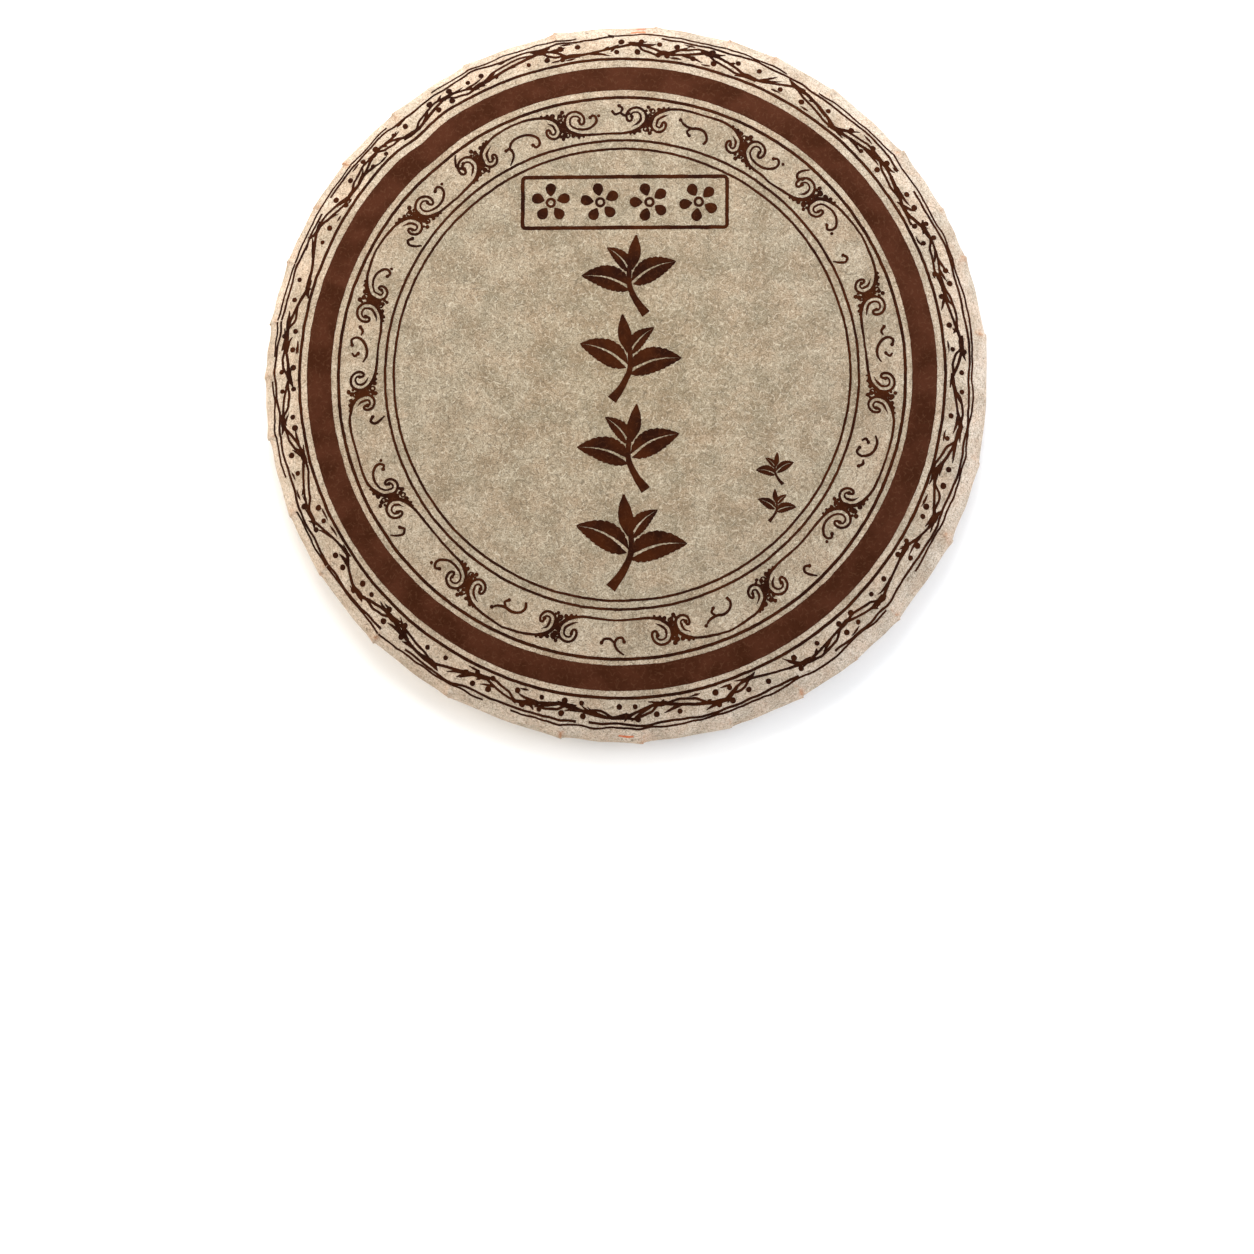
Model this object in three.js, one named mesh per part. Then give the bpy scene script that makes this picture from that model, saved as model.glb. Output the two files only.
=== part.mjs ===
// A pressed round tea cake in its sheet of cotton paper, lying with the printed face up.
// Millimetres and degrees. +Z is up, +Y is the top of the printed face, and the origin is
// the middle of the face that the cake rests on.
import * as THREE from 'three';
import { mergeVertices } from 'three/addons/utils/BufferGeometryUtils.js';

// The pressed cake under its paper
const cakeRadius = 105;
const cakeHeight = 27;
const rimHeight = 9; // of the widest line, above the resting face
const faceFullness = 4.5; // a higher power gives a flatter face and a tighter shoulder
const restRadius = 92; // where the rounded lower edge meets the flat of the back

// The dimple in the back, and the twisted end of the paper tucked into it
const dimpleRadius = 34;
const dimpleFloorRadius = 21;
const dimpleDepth = 6.5;
const tuftRadius = 15;
const tuftRecess = 2.2; // how far the tuft stays inside the resting face
const tuftRidge = 0.5;

// Where the paper folds over the rim, anticlockwise from +X: hand-made, so unevenly spaced
const foldDirections = [
  7, 20, 28.5, 40, 54.5, 65, 73, 85.5, 101.5, 117, 131, 141.5, 150, 160.5, 170,
  179, 189, 202, 212, 226, 240.5, 259.5, 273, 286.5, 298.5, 309, 318.5, 334, 347,
];

// The relief that the folds give
const cornerRise = 0.4; // how far a fold stands out at the rim
const cornerHalfWidth = 4.5;
const chordTightness = 0.6; // 1 pulls the paper straight from fold to fold
const cornerFadeRadius = 94; // inside this the face is smooth
const tuckAtRim = 0.35; // depth of the step beside a pleat, where it starts under the rim
const tuckAtDimple = 0.9;
const tuckShare = 0.45; // of a pleat's width that slopes down to the step
const swirlTurn = 26; // how far the pleats turn on their way to the dimple

// Places of the mesh's columns across one pleat, as shares of its width
const columnShares = [0, 0.07, 0.25, 0.45, 0.65, 0.86];

const paper = new THREE.MeshStandardMaterial({ color: 0xc9b79c, roughness: 0.88, metalness: 0 });

const { smoothstep, lerp, degToRad } = THREE.MathUtils;

// How far the pleats have turned at this radius of the back
function swirlAt(radius) {
  const inward = 1 - Math.min(radius / restRadius, 1);
  return swirlTurn * Math.pow(inward, 1.4);
}

// Depth of the step beside each pleat on the back
function tuckAt(radius) {
  return lerp(tuckAtDimple, tuckAtRim, smoothstep(radius, dimpleRadius, restRadius));
}

// A ring of the surface: its radius and height, the outward direction of its section,
// and how much of each kind of relief it takes.
function ring(radius, height, outward, relief) {
  return { radius, height, outward, corner: 0, tuck: 0, ridge: 0, ...relief };
}

// The tuft and the dimple, from the middle of the back outwards
function dimpleRings() {
  const down = [0, -1];
  const rings = [];
  for (const share of [0, 0.4, 0.8, 1]) {
    const radius = tuftRadius * share;
    const height = lerp(tuftRecess, dimpleDepth, share * share * share);
    rings.push(ring(radius, height, down, { ridge: tuftRidge * Math.sin(Math.PI * share) }));
  }
  for (const share of [0, 0.35, 0.7]) {
    const radius = lerp(dimpleFloorRadius, dimpleRadius, share);
    const height = dimpleDepth * (1 - smoothstep(share, -0.25, 1));
    rings.push(ring(radius, height, down, { tuck: tuckAtDimple * 0.6 }));
  }
  return rings;
}

// The flat annulus that the cake rests on
function restRings() {
  const radii = [dimpleRadius, 48, 63, 78, restRadius];
  return radii.map((radius) => ring(radius, 0, [0, -1], { tuck: tuckAt(radius) }));
}

// The rounded lower edge, up to the widest line
function lowerEdgeRings() {
  const rings = [];
  for (const turn of [22, 45, 67, 90]) {
    const across = Math.sin(degToRad(turn));
    const up = Math.cos(degToRad(turn));
    const radius = lerp(restRadius, cakeRadius, across);
    const height = rimHeight * (1 - up);
    const tuck = tuckAtRim * up;
    rings.push(ring(radius, height, [across, -up], { corner: across, tuck }));
  }
  return rings;
}

// Height of the smooth face above the resting face
function faceHeight(radius) {
  const out = Math.pow(Math.min(radius / cakeRadius, 1), faceFullness);
  return lerp(rimHeight, cakeHeight, Math.sqrt(1 - out));
}

// The printed face, from the rim in to its middle
function faceRings() {
  const shares = [0.994, 0.978, 0.955, 0.925, 0.885, 0.82, 0.72, 0.58, 0.4, 0.2, 0];
  return shares.map((share) => {
    const radius = cakeRadius * share;
    const corner = smoothstep(radius, cornerFadeRadius, cakeRadius);
    return ring(radius, faceHeight(radius), [1, 0], { corner });
  });
}

// The columns of the mesh, with their place across the pleat that each belongs to
function pleatColumns() {
  return foldDirections.flatMap((from, fold) => {
    const next = foldDirections[(fold + 1) % foldDirections.length];
    const width = (next - from + 360) % 360;
    return columnShares.map((share) => ({ direction: from + width * share, width, share, fold }));
  });
}

// Folds are unequal: this gives each its own strength, about 1
function foldStrength(fold) {
  return 1 + 0.35 * Math.sin(fold * 2.4 + 0.6);
}

// How far a column stands out at the rim: a sharp corner at each fold, and the paper
// pulled towards a straight line between two of them.
function cornerRelief({ width, share, fold }) {
  const arc = degToRad(width) * cakeRadius;
  const nearNext = share > 0.5;
  const distance = arc * (nearNext ? 1 - share : share);
  const crest = Math.max(0, 1 - distance / cornerHalfWidth);
  const strength = foldStrength(nearNext ? (fold + 1) % foldDirections.length : fold);
  const sagitta = cakeRadius * (1 - Math.cos(degToRad(width / 2)));
  const slack = 1 - (2 * share - 1) ** 2;
  return cornerRise * strength * crest * crest - chordTightness * sagitta * slack;
}

// How deep a column lies behind the pleat beside it: nothing on the pleat's edge, most just
// past the step, and nothing again on the flat of the pleat.
function tuckRelief({ share, fold }) {
  const pastStep = share > 0 && share < tuckShare;
  return pastStep ? foldStrength(fold) * (1 - share / tuckShare) : 0;
}

// The tuft is gathered from every other pleat, twisted a little
function ridgeRelief({ fold, share }) {
  return Math.cos(Math.PI * (fold + share));
}

function cakeGeometry() {
  const rings = [...dimpleRings(), ...restRings(), ...lowerEdgeRings(), ...faceRings()];
  const columns = pleatColumns();
  const profile = rings.map(({ radius, height }) => new THREE.Vector2(radius, height));
  const turned = new THREE.LatheGeometry(profile, columns.length);
  const position = turned.getAttribute('position');
  for (let index = 0; index < position.count; index += 1) {
    const { radius, height, outward, corner, tuck, ridge } = rings[index % rings.length];
    const column = columns[Math.floor(index / rings.length) % columns.length];
    const rise = corner * cornerRelief(column) - tuck * tuckRelief(column);
    const centred = radius > 0 ? 1 : 0;
    const out = radius + centred * rise * outward[0];
    const up = height + centred * (rise * outward[1] + ridge * ridgeRelief(column));
    const direction = degToRad(column.direction + swirlAt(radius));
    position.setXYZ(index, out * Math.cos(direction), out * Math.sin(direction), up);
  }
  turned.deleteAttribute('normal');
  turned.deleteAttribute('uv');
  const closed = mergeVertices(turned, 1e-4);
  closed.computeVertexNormals();
  return closed;
}

const cake = new THREE.Mesh(cakeGeometry(), paper);
cake.name = 'wrapped_tea_cake';

const part = new THREE.Group();
part.add(cake);

export default part;
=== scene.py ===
# A round pressed tea cake in printed cotton paper, lying face up on a pale studio floor.
# Metres, +Z up, +Y the top of the printed face. Lengths in the dictionaries are millimetres.
import math
import random

import bpy
import numpy as np
from mathutils import Euler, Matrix, Vector, geometry, noise
from mathutils.bvhtree import BVHTree


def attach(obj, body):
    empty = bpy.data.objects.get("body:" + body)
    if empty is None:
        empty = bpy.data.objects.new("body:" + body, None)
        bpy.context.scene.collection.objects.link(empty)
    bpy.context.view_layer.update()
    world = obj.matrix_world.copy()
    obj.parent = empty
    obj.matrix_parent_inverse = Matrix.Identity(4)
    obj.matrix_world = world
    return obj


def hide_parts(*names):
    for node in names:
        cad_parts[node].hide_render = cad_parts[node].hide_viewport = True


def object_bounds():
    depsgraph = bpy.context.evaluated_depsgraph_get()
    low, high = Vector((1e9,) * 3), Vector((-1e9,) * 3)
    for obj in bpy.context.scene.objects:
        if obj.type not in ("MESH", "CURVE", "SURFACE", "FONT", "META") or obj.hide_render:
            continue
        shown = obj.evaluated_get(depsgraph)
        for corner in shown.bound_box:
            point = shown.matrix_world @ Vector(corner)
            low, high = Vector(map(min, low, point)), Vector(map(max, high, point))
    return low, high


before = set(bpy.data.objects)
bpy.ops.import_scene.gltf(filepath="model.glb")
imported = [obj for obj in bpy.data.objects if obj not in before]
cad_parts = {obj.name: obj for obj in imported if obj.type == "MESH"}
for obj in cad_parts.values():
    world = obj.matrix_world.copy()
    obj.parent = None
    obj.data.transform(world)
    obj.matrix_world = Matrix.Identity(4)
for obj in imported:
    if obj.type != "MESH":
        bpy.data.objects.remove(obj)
cadLow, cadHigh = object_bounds()
mm = 0.001
print("frame loaded, cake", [round(side / mm, 1) for side in cadHigh - cadLow], "mm")


# Small tools that every piece uses

def deselectAll():
    if bpy.context.mode != "OBJECT":
        bpy.ops.object.mode_set(mode="OBJECT")
    bpy.ops.object.select_all(action="DESELECT")


def activate(piece):
    deselectAll()
    piece.select_set(True)
    bpy.context.view_layer.objects.active = piece


def smoothstep(low, high, value):
    share = np.clip((value - low) / (high - low), 0.0, 1.0)
    return share * share * (3.0 - 2.0 * share)


def readPoints(piece):
    points = np.zeros(len(piece.data.vertices) * 3)
    piece.data.vertices.foreach_get("co", points)
    return points.reshape(-1, 3)


def writePoints(piece, points):
    piece.data.vertices.foreach_set("co", points.ravel())
    piece.data.update()


def selectFaces(piece, chosen):
    # chosen is called with each face; everything else ends up deselected
    bpy.context.tool_settings.mesh_select_mode = (False, False, True)
    for part in (piece.data.vertices, piece.data.edges):
        part.foreach_set("select", [False] * len(part))
    for face in piece.data.polygons:
        face.select = bool(chosen(face))


def noiseAt(points, size, seed):
    # One value from -1 to 1 for each point, with lumps about `size` across, in the points' unit
    shift = Vector((seed * 17.31, seed * 5.77, seed * 11.13))
    return np.array([noise.noise(Vector(point) / size + shift) for point in points])


# Camera: a long lens at the photograph's angle, and its framing without any lens shift
view = {
    "frameSide": 1254,            # pixels
    "cakeCentre": (626.0, 382.2),  # where the middle of the rim lies in that frame
    "cakeHalfWidth": 361.6,
    "lens": 135.0,
    "sensor": 36.0,
    "tilt": 5.9,                  # degrees, the camera moved towards the bottom of the print
    "lean": 2.1,                  # degrees, and a little to its right
    "clip": (0.05, 20.0),         # metres
}


def makeCamera():
    bpy.ops.object.camera_add()
    camera = bpy.context.object
    camera.name = "main_camera"
    camera.data.lens = view["lens"]
    camera.data.sensor_width = view["sensor"]
    camera.data.clip_start, camera.data.clip_end = view["clip"]
    turn = Euler((math.radians(view["tilt"]), math.radians(view["lean"]), 0.0))
    halfWidth = (cadHigh.x - cadLow.x) / 2
    pixel = view["sensor"] / view["lens"] / view["frameSide"]  # slope of one pixel
    distance = halfWidth / (view["cakeHalfWidth"] * pixel)
    middle = view["frameSide"] / 2
    across = (view["cakeCentre"][0] - middle) * pixel * distance
    up = (middle - view["cakeCentre"][1]) * pixel * distance
    rimMiddle = Vector((0, 0, wrapper["rimHeight"] * mm))
    camera.rotation_euler = turn
    camera.location = rimMiddle - turn.to_matrix() @ Vector((across, up, -distance))
    bpy.context.scene.camera = camera
    print("camera", round(distance, 3), "m away")


# The paper wrapper, a fine skin of the CAD solid with its folds, creases and crinkles
wrapper = {
    "radius": 105.0,
    "height": cadHigh.z / mm,
    "rimHeight": 9.0,
    "faceFullness": 4.5,
    "restRadius": 92.0,
    "dimpleRadius": 34.0,
    "dimpleFloor": 21.0,
    "dimpleDepth": 6.5,
    "tuftRadius": 15.0,
    "tuftRecess": 2.2,
    # where the paper folds over the rim, in degrees anticlockwise from +X
    "folds": [7, 20, 28.5, 40, 54.5, 65, 73, 85.5, 101.5, 117, 131, 141.5, 150, 160.5, 170,
              179, 189, 202, 212, 226, 240.5, 259.5, 273, 286.5, 298.5, 309, 318.5, 334, 347],
    # places of the mesh's columns across one pleat
    "shares": [0, 0.012, 0.05, 0.1, 0.16, 0.22, 0.28, 0.34, 0.4, 0.46, 0.52, 0.585, 0.65,
               0.72, 0.79, 0.86, 0.925, 0.975],
    # from one ring of the mesh to the next, by radius: finest round the rim
    "backGaps": [(34, 1.3), (36, 1.5), (89, 1.5), (92, 0.75)],
    "faceGaps": [(60, 2.6), (62, 1.5), (95, 1.5), (97, 0.75)],
    "cornerRise": 0.34,
    "cornerHalfWidth": 4.5,
    "cornerRounding": 0.9,
    "chordTightness": 0.45,
    "deepestChord": 0.45,         # however far apart two folds lie
    "cornerFade": 94.0,
    # the small tuck that runs in from each corner: its height, the radii on the face from which
    # it rises and at which it is full, and how soon it falls off on its steep and its soft side
    "tuck": {"height": 0.12, "rise": (100, 104.5), "steep": 0.7, "soft": 2.1},
    "pleatStart": 99.5,           # radius on the face from which a pleat's free edge stands out
    # depth of the step beside it, at the widest line, under the rim and at the dimple
    "stepAtWidest": 0.28,
    "stepAtRim": 0.6,
    "stepAtDimple": 0.9,
    "stepShare": 0.45,            # of a pleat's width that slopes down to the step
    "swirlTurn": 26.0,
    "pleatLean": 1.5,             # degrees that a pleat may lean on its way over the edge
    "leanAtWidest": 0.35,         # share of that lean that it has at the widest line
    "pleatDrift": 2.2,            # and on its way over the back
    "pleatWave": (11.0, 0.9),     # how fast, in millimetres, and how far it wavers there
    "overhang": 0.55,             # how far a pleat's free edge lies over the next one
    "tuftRidge": 0.9,
    "tuftTwist": 95.0,            # degrees that the gathered end is twisted
    # waves between two folds: height, and the radii between which they grow
    "waves": (0.08, 88, 103),
    # crinkles: size of the lumps, height, and a seed
    "crinkles": [(26.0, 0.22, 1), (10.0, 0.06, 2), (4.2, 0.025, 3)],
    "sinkMargin": 4,              # how far past the resting face the crinkles still only sink
    # the painted light and shade along each fold, a tan line: its fade in degrees, and the radii between
    # which it grows
    "foldLightAndShade": (0.45, 100, 104),
    # creases across the shoulder: direction, inner and outer radius, height, half width
    "creases": [(14.5, 80, 99, 0.22, 1.4), (47, 84, 101, 0.12, 1.2), (78, 86, 102, 0.1, 1.0),
                (110, 82, 100, 0.14, 1.3), (124, 80, 98, 0.16, 1.2), (162, 78, 100, 0.3, 1.6),
                (171, 84, 101, 0.16, 1.2), (195, 84, 101, 0.14, 1.1), (219, 86, 101, 0.12, 1.2),
                (233, 83, 100, 0.16, 1.4), (250, 86, 102, 0.12, 1.1), (293, 84, 100, 0.14, 1.2),
                (326, 82, 99, 0.16, 1.3), (338.5, 79, 100, 0.26, 1.5), (343, 82, 99, 0.18, 1.2)],
    "creaseFade": (6, 3),         # over how many millimetres one fades at its inner and outer end
    # dents: direction, half width in degrees, radius, half depth, how far the paper is pushed in
    "dents": [(130.5, 3.4, 92, 9, 0.9), (213, 5, 99, 6, 0.5), (296, 6, 98, 6, 0.35)],
    "dentSink": 0.35,             # how far a dent goes down, as a share of its push
}


def foldStrength(fold):
    # Folds are unequal: this gives each its own strength, about 1
    return 1 + 0.35 * np.sin(fold * 2.4 + 0.6)


def faceHeight(radius):
    out = np.clip(radius / wrapper["radius"], 0, 1) ** wrapper["faceFullness"]
    return wrapper["rimHeight"] + (wrapper["height"] - wrapper["rimHeight"]) * np.sqrt(1 - out)


def wrapperProfile():
    # From the middle of the back out to the rim and over to the middle of the face. It is drawn
    # finely first, then divided into rings with the gaps that each stretch needs.
    cakeRadius, restRadius, tuftRadius = wrapper["radius"], wrapper["restRadius"], wrapper["tuftRadius"]
    dimpleRadius, dimpleFloor = wrapper["dimpleRadius"], wrapper["dimpleFloor"]
    depth = wrapper["dimpleDepth"]
    tuft = np.linspace(0, 1, 60)
    tuftHeight = wrapper["tuftRecess"] + (depth - wrapper["tuftRecess"]) * tuft ** 3
    floor = np.linspace(tuftRadius, dimpleFloor, 20)[1:]
    wall = np.linspace(0, 1, 60)[1:]
    wallRadius = dimpleFloor + (dimpleRadius - dimpleFloor) * wall
    wallHeight = depth * (1 - smoothstep(-0.05, 1.0, wall))
    flat = np.linspace(dimpleRadius, restRadius, 200)[1:]
    turn = np.radians(np.linspace(0, 90, 120)[1:])
    edgeRadius = restRadius + (cakeRadius - restRadius) * np.sin(turn)
    edgeHeight = wrapper["rimHeight"] * (1 - np.cos(turn))
    inward = np.linspace(0, 1, 1500)[1:]
    faceRadius = cakeRadius * (1 - inward ** 2)
    radius = np.concatenate([tuft * tuftRadius, floor, wallRadius, flat, edgeRadius, faceRadius])
    height = np.concatenate([tuftHeight, np.full(len(floor), depth), wallHeight,
                             np.zeros(len(flat)), edgeHeight, faceHeight(faceRadius)])
    length = np.concatenate([[0], np.cumsum(np.hypot(np.diff(radius), np.diff(height)))])
    faceStart = len(radius) - len(inward)
    gap = np.where(np.arange(len(radius)) < faceStart, np.interp(radius, *zip(*wrapper["backGaps"])),
                   np.interp(radius, *zip(*wrapper["faceGaps"])))
    ringCount = np.concatenate([[0], np.cumsum(np.diff(length) / gap[1:])])
    at = np.interp(np.linspace(0, ringCount[-1], int(round(ringCount[-1])) + 1), ringCount, length)
    # the outward direction at each ring, from the places a little ahead and behind
    step = 0.5
    ahead = [np.interp(np.clip(at + step, 0, length[-1]), length, line) for line in (radius, height)]
    behind = [np.interp(np.clip(at - step, 0, length[-1]), length, line) for line in (radius, height)]
    along = np.array(ahead) - np.array(behind)
    along /= np.hypot(*along)
    return {
        "radius": np.interp(at, length, radius),
        "height": np.interp(at, length, height),
        "outward": np.array([along[1], -along[0]]),
        "onFace": at > length[faceStart - 1],
    }


def wrapperColumns():
    columns = []
    for fold, start in enumerate(wrapper["folds"]):
        width = (wrapper["folds"][(fold + 1) % len(wrapper["folds"])] - start) % 360
        columns += [(start + width * share, width, share, fold) for share in wrapper["shares"]]
    direction, width, share, fold = np.array(columns).T
    return {"direction": direction, "width": width, "share": share, "fold": fold}


def cornerRelief(columns):
    # A corner at each fold, and the paper pulled towards a straight line between two of them
    arc = np.radians(columns["width"]) * wrapper["radius"]
    nearNext = columns["share"] > 0.5
    toFold = arc * np.where(nearNext, 1 - columns["share"], columns["share"])
    distance = np.hypot(toFold, wrapper["cornerRounding"])
    fold = (columns["fold"] + nearNext) % len(wrapper["folds"])
    crest = np.clip(1 - distance / wrapper["cornerHalfWidth"], 0, 1) ** 2
    sagitta = wrapper["radius"] * (1 - np.cos(np.radians(columns["width"] / 2)))
    slack = 1 - (2 * columns["share"] - 1) ** 2
    chord = np.minimum(wrapper["chordTightness"] * sagitta, wrapper["deepestChord"]) * slack
    return wrapper["cornerRise"] * foldStrength(fold) * crest - chord


def tuckRelief(columns):
    # Steep on one side of the fold, soft on the other
    arc = np.radians(columns["width"]) * wrapper["radius"]
    after = columns["share"] * arc
    before = (1 - columns["share"]) * arc
    nextFold = (columns["fold"] + 1) % len(wrapper["folds"])
    steep = np.exp(-after / wrapper["tuck"]["steep"]) * foldStrength(columns["fold"])
    soft = np.exp(-before / wrapper["tuck"]["soft"]) * foldStrength(nextFold)
    return np.maximum(steep, soft)


def stepRelief(columns):
    # Nothing on a pleat's free edge, most just past it, and nothing again on the flat of the pleat
    share = columns["share"]
    pastEdge = (share > 0) & (share < wrapper["stepShare"])
    depth = foldStrength(columns["fold"]) * np.clip(1 - share / wrapper["stepShare"], 0, 1) ** 0.8
    return np.where(pastEdge, depth, 0)


def perFold(columns, reach, seed):
    # A value of its own for each fold, up to `reach`, that changes evenly from one to the next
    chance = random.Random(seed)
    values = [chance.uniform(-reach, reach) for _ in wrapper["folds"]]
    return np.interp(columns["fold"] + columns["share"], np.arange(len(values) + 1), values + values[:1])


def shapeWrapper(rings, columns):
    # The place of every ring and column of the skin, in metres
    cakeRadius, restRadius = wrapper["radius"], wrapper["restRadius"]
    tuftRadius, dimpleRadius = wrapper["tuftRadius"], wrapper["dimpleRadius"]
    radius = rings["radius"][:, None] + np.zeros(len(columns["share"]))
    height = rings["height"][:, None] + 0 * radius
    onFace = rings["onFace"][:, None]
    across = np.clip((radius - restRadius) / (cakeRadius - restRadius), 0, 1)
    corner = np.where(onFace, smoothstep(wrapper["cornerFade"], cakeRadius, radius), across)
    onPleat = smoothstep(wrapper["pleatStart"], cakeRadius, radius)
    atWidest, atRim, atDimple = wrapper["stepAtWidest"], wrapper["stepAtRim"], wrapper["stepAtDimple"]
    step = atDimple + (atRim - atDimple) * smoothstep(dimpleRadius, restRadius, radius)
    step = np.where(radius < tuftRadius, 0, step + (atWidest - atRim) * across)
    step = np.where(onFace, atWidest * onPleat, step)
    tuck = np.where(onFace, smoothstep(*wrapper["tuck"]["rise"], radius), np.sqrt(across))
    rise = corner * cornerRelief(columns) - step * stepRelief(columns)
    rise = rise + wrapper["tuck"]["height"] * tuck * tuckRelief(columns)

    # pleats turn on their way to the dimple, each a little in its own way
    inward = np.clip(1 - radius / restRadius, 0, 1)
    swirl = wrapper["swirlTurn"] * inward ** 1.4
    waveLength, wavering = wrapper["pleatWave"]
    wander = np.sin(radius / waveLength + perFold(columns, 1.5, 8)) * wavering
    wander = wander + perFold(columns, wrapper["pleatDrift"], 9)
    swirl = swirl + wander * smoothstep(0, 0.5, inward) * (radius > tuftRadius)
    twist = wrapper["tuftTwist"] * smoothstep(wrapper["dimpleFloor"], 0, radius) ** 1.3
    leanLeft = wrapper["leanAtWidest"]
    overEdge = np.where(onFace, leanLeft * onPleat, 1 - (1 - leanLeft) * across)
    swirl = np.where(onFace, 0, swirl + twist) + overEdge * perFold(columns, wrapper["pleatLean"], 10)
    freeEdge = (columns["share"] == 0) * step / atDimple
    lap = np.degrees(wrapper["overhang"] * freeEdge / np.maximum(radius, 8))
    direction = np.radians(columns["direction"] + swirl + lap)

    # the gathered end: ridges from every other pleat, uneven in height
    gathered = np.where(onFace, 0, smoothstep(dimpleRadius, tuftRadius, radius))
    gathered = gathered * smoothstep(0, 3, radius)
    pleatAt = columns["fold"] + columns["share"]
    ridges = np.cos(np.pi * pleatAt) + 0.5 * np.sin(2.7 * np.pi * pleatAt)
    rise = rise + gathered * wrapper["tuftRidge"] * ridges

    # waves of the paper between two folds, on the shoulder and the margin
    waveHeight, waveStart, waveFull = wrapper["waves"]
    waves = np.sin(columns["share"] * 2 * np.pi * 2 + columns["fold"]) * waveHeight
    rise = rise + waves * smoothstep(waveStart, waveFull, radius) * np.where(onFace, 1, across)

    # crinkles, which only sink where the cake rests
    smooth = np.stack([radius * np.cos(direction), radius * np.sin(direction), height], axis=-1)
    lumps = np.zeros(radius.shape)
    for size, depth, seed in wrapper["crinkles"]:
        lumps += depth * noiseAt(smooth.reshape(-1, 3), size, seed).reshape(radius.shape)
    resting = (~onFace) & (radius < restRadius + wrapper["sinkMargin"])
    rise = rise + np.where(resting, -np.abs(lumps), lumps)

    degrees = np.degrees(direction) % 360
    fadeIn, fadeOut = wrapper["creaseFade"]
    for at, inside, outside, crestHeight, halfWidth in wrapper["creases"]:
        away = np.abs((degrees - at + 180) % 360 - 180)
        offLine = np.radians(away) * radius / halfWidth
        reach = smoothstep(inside, inside + fadeIn, radius)
        reach = reach * (1 - smoothstep(outside - fadeOut, outside, radius))
        rise = rise + np.where(onFace, crestHeight * np.exp(-offLine ** 1.3) * reach, 0)

    radial = radius + rise * rings["outward"][0][:, None]
    height = height + rise * rings["outward"][1][:, None]
    for at, halfAngle, ring, halfDepth, push in wrapper["dents"]:
        away = (degrees - at + 180) % 360 - 180
        dent = np.exp(-(away / halfAngle) ** 2 - ((radius - ring) / halfDepth) ** 2)
        radial = radial - np.where(onFace, push * dent, 0)
        height = height - np.where(onFace, wrapper["dentSink"] * push * dent, 0)
    height = np.maximum(height, 0)
    return np.stack([radial * np.cos(direction), radial * np.sin(direction), height], axis=-1) * mm


def spinProfile(name, radii, heights, steps):
    # A line drawn point by point in edit mode, then spun about the Z axis
    deselectAll()
    bpy.ops.mesh.primitive_plane_add(size=mm)
    piece = bpy.context.object
    piece.name = name
    bpy.ops.object.mode_set(mode="EDIT")
    bpy.ops.mesh.select_all(action="SELECT")
    bpy.ops.mesh.merge(type="CENTER")
    bpy.ops.transform.translate(value=(radii[0] * mm, 0, heights[0] * mm))
    for k in range(1, len(radii)):
        move = ((radii[k] - radii[k - 1]) * mm, 0, (heights[k] - heights[k - 1]) * mm)
        bpy.ops.mesh.extrude_region_move(TRANSFORM_OT_translate={"value": move})
    bpy.ops.mesh.select_all(action="SELECT")
    bpy.ops.mesh.spin(steps=steps, angle=2 * math.pi, center=(0, 0, 0), axis=(0, 0, 1))
    bpy.ops.mesh.select_all(action="SELECT")
    bpy.ops.mesh.remove_doubles(threshold=1e-6)
    bpy.ops.mesh.normals_make_consistent(inside=False)
    bpy.ops.object.mode_set(mode="OBJECT")
    return piece


def makeWrapper(material):
    rings = wrapperProfile()
    columns = wrapperColumns()
    steps = len(columns["share"])
    piece = spinProfile("paper_wrapper", rings["radius"], rings["height"], steps)
    spun = readPoints(piece) / mm
    radius = np.hypot(spun[:, 0], spun[:, 1])
    offRing = np.hypot(radius[:, None] - rings["radius"], spun[:, 2:] - rings["height"])
    ring = offRing.argmin(axis=1)
    column = np.round(np.arctan2(spun[:, 1], spun[:, 0]) / (2 * np.pi) * steps).astype(int) % steps
    places = shapeWrapper(rings, columns)
    writePoints(piece, places[ring, column])
    # the painted light and shade along the folds, kept as a value on each point for the paper's material
    fade, inside, outside = wrapper["foldLightAndShade"]
    fromFold = np.minimum(columns["share"], 1 - columns["share"]) * columns["width"]
    onMargin = smoothstep(inside, outside, rings["radius"])[:, None]
    paintedFoldShade = onMargin * (foldStrength(columns["fold"]) * np.exp(-fromFold / fade))
    foldLightAndShade = piece.data.attributes.new("foldLightAndShade", "FLOAT", "POINT")
    foldLightAndShade.data.foreach_set("value", paintedFoldShade[ring, column].astype(np.float32))
    activate(piece)
    bpy.ops.object.shade_smooth()
    piece.data.materials.append(material)
    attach(piece, "root")
    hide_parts("wrapped_tea_cake")
    print("wrapper", len(piece.data.vertices), "points")
    return {"rings": rings, "columns": columns, "places": places}


# Printing: flat shapes in millimetres, laid on the paper where the paper now is
printing = {
    "lift": 0.07,
    "thickness": 0.08,
    # how far an outline wavers, and the sizes of its ragged bits with the seeds for x and y
    "roughEdge": 0.08,
    "rags": [(0.9, 4, 6), (2.5, 5, 7)],
    "longestEdge": 1.6,
    "thinnest": 0.02,
    "smoothAngle": 40.0,
}


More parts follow.
